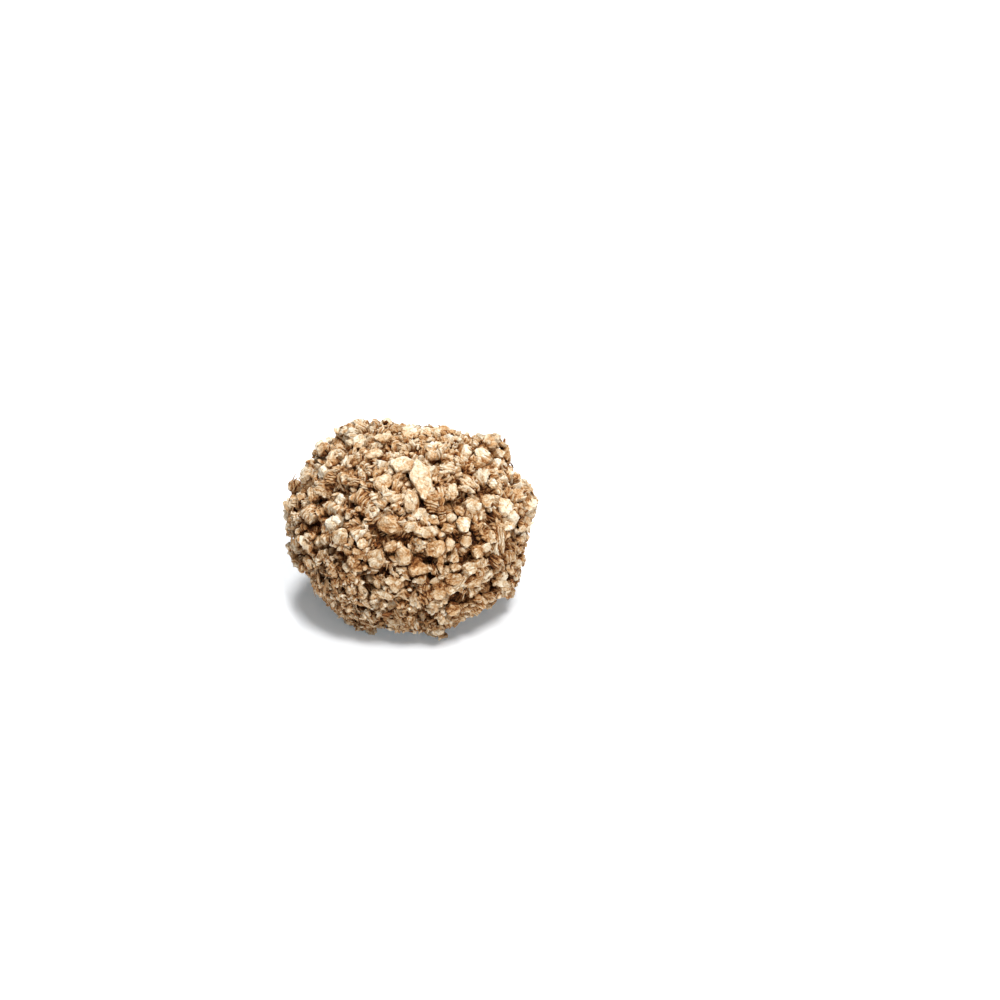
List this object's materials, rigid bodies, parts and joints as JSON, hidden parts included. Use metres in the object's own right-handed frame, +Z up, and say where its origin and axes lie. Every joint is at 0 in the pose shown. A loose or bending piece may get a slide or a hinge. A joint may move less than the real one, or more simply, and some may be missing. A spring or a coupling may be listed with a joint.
{
  "type": "cat litter clump",
  "caption": "Squat, lopsided clump of bonded plant-fibre cat litter granules, with a rough crumbly surface all over and a flat underside to rest on.",
  "frame": {"origin": "middle of the clump's overall box, on its flat underside", "axes": "+X across the widest extent, +Z up, -Y towards the viewer of the picture"},
  "size_m": [0.064, 0.06, 0.047],
  "materials": {
    "plant_fibre": "matte, rough and fibrous"
  },
  "bodies": {
    "root": {"litter_clump": "plant_fibre"}
  },
  "joints": []
}
